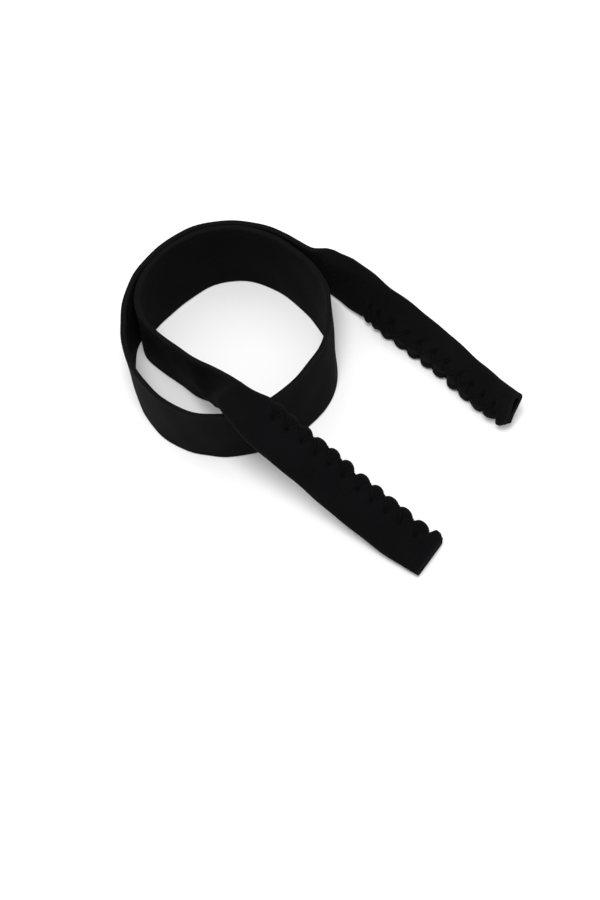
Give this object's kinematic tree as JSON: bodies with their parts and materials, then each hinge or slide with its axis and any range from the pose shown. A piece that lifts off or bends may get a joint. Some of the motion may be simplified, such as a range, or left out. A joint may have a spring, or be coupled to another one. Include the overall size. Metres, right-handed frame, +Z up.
{
  "type": "eyeglass retainer strap",
  "caption": "Soft strap that keeps spectacles on: a flat foam band, shown coiled on its edge, with ends folded and sewn into sleeves that grip the temple arms.",
  "frame": {"origin": "middle of the bounding box, on the surface the coil stands on", "axes": "+X along the sleeves towards their mouths, +Z up, the rear sleeve on the +Y side"},
  "size_m": [0.1364, 0.0948, 0.0352],
  "materials": {
    "outer_jersey": "matte knitted nylon jersey, outer face",
    "inner_jersey": "matte knitted nylon jersey, inner face",
    "foam": "closed-cell foam rubber, matte cut edge",
    "thread": "spun polyester overedge thread"
  },
  "bodies": {
    "band": {"inner_turn_outer_facing": "outer_jersey", "inner_turn_core": "foam", "inner_turn_inner_facing": "inner_jersey", "outer_turn_outer_facing": "outer_jersey", "outer_turn_core": "foam", "outer_turn_inner_facing": "inner_jersey", "front_neck_outer_facing": "outer_jersey", "front_neck_core": "foam", "front_neck_inner_facing": "inner_jersey", "rear_neck_outer_facing": "outer_jersey", "rear_neck_core": "foam", "rear_neck_inner_facing": "inner_jersey"},
    "front_sleeve": {"front_sleeve_outer_facing": "outer_jersey", "front_sleeve_core": "foam", "front_sleeve_inner_facing": "inner_jersey", "front_seam_thread": "thread"},
    "rear_sleeve": {"rear_sleeve_outer_facing": "outer_jersey", "rear_sleeve_core": "foam", "rear_sleeve_inner_facing": "inner_jersey", "rear_seam_thread": "thread"}
  },
  "joints": [
    {"name": "front_sleeve_swing", "type": "hinge", "parent": "band", "child": "front_sleeve", "pos_m": [-0.00494, -0.03944, 0.03202], "axis": [0, 0, 1], "range_deg": [-24, 8], "stiffness_Nm_per_rad": 0.003, "deforming": ["front_neck_outer_facing", "front_neck_core", "front_neck_inner_facing"]},
    {"name": "rear_sleeve_swing", "type": "hinge", "parent": "band", "child": "rear_sleeve", "pos_m": [-0.01263, 0.03896, 0.01402], "axis": [0, 0, 1], "range_deg": [-20, 25], "stiffness_Nm_per_rad": 0.003, "deforming": ["rear_neck_outer_facing", "rear_neck_core", "rear_neck_inner_facing"]}
  ]
}
